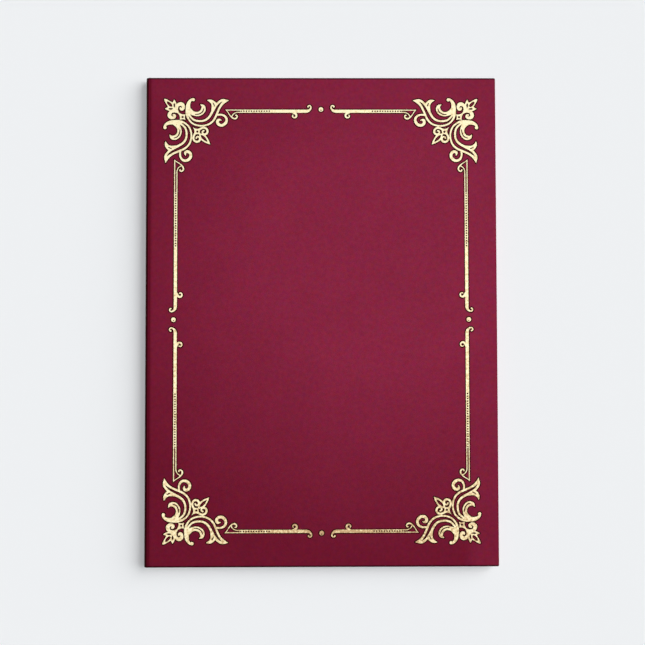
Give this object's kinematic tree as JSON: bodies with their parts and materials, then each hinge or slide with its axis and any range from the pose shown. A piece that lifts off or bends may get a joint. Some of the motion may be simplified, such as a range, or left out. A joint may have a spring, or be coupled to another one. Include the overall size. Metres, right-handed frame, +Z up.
{
  "type": "certificate holder",
  "caption": "Leatherette folder that opens like a book and holds a certificate under a clear film and satin corner ribbons, with a traditional gold foil scroll border on its front.",
  "frame": {"origin": "middle of the back cover's outer face, which lies on the surface", "axes": "+X from the spine to the fore edge, +Y from the tail to the head, +Z up from the back cover to the front cover with its foil border"},
  "size_m": [0.223, 0.31, 0.0079],
  "materials": {
    "cover_leatherette": "matte fine-grained burgundy leatherette",
    "greyboard": "uncoated greyboard",
    "hinge_liner": "matte smooth burgundy leatherette",
    "panel_card": "uncoated card",
    "moire_lining": "ivory watered moire with a soft sheen",
    "satin_ribbon": "ivory satin",
    "clear_film": "clear glossy film",
    "gold_foil": "satin pale gold hot-stamped foil"
  },
  "bodies": {
    "back_cover": {"back_cover_skin": "cover_leatherette", "back_board": "greyboard", "back_hinge_liner": "hinge_liner", "back_panel_card": "panel_card", "back_panel_lining": "moire_lining", "clear_film": "clear_film", "ribbon_top_left": "satin_ribbon", "ribbon_top_right": "satin_ribbon", "ribbon_bottom_left": "satin_ribbon", "ribbon_bottom_right": "satin_ribbon", "back_fold_skin": "cover_leatherette", "back_fold_liner": "hinge_liner"},
    "spine": {"spine_skin": "cover_leatherette", "spine_liner": "hinge_liner"},
    "front_cover": {"front_fold_skin": "cover_leatherette", "front_fold_liner": "hinge_liner", "front_cover_skin": "cover_leatherette", "front_board": "greyboard", "front_hinge_liner": "hinge_liner", "front_panel_card": "panel_card", "front_panel_lining": "moire_lining", "foil_corner_top_left": "gold_foil", "foil_corner_top_right": "gold_foil", "foil_corner_bottom_left": "gold_foil", "foil_corner_bottom_right": "gold_foil", "foil_rule_top": "gold_foil", "foil_rule_bottom": "gold_foil", "foil_rule_left": "gold_foil", "foil_rule_right": "gold_foil", "foil_dots": "gold_foil"}
  },
  "joints": [
    {"name": "back_fold", "type": "hinge", "parent": "back_cover", "child": "spine", "pos_m": [-0.11072, 0, 0.00078], "axis": [0, -1, 0], "range_deg": [0, 90], "deforming": ["back_fold_skin", "back_fold_liner"]},
    {"name": "front_fold", "type": "hinge", "parent": "spine", "child": "front_cover", "pos_m": [-0.11072, 0, 0.00702], "axis": [0, -1, 0], "range_deg": [0, 90], "deforming": ["front_fold_skin", "front_fold_liner"]}
  ]
}
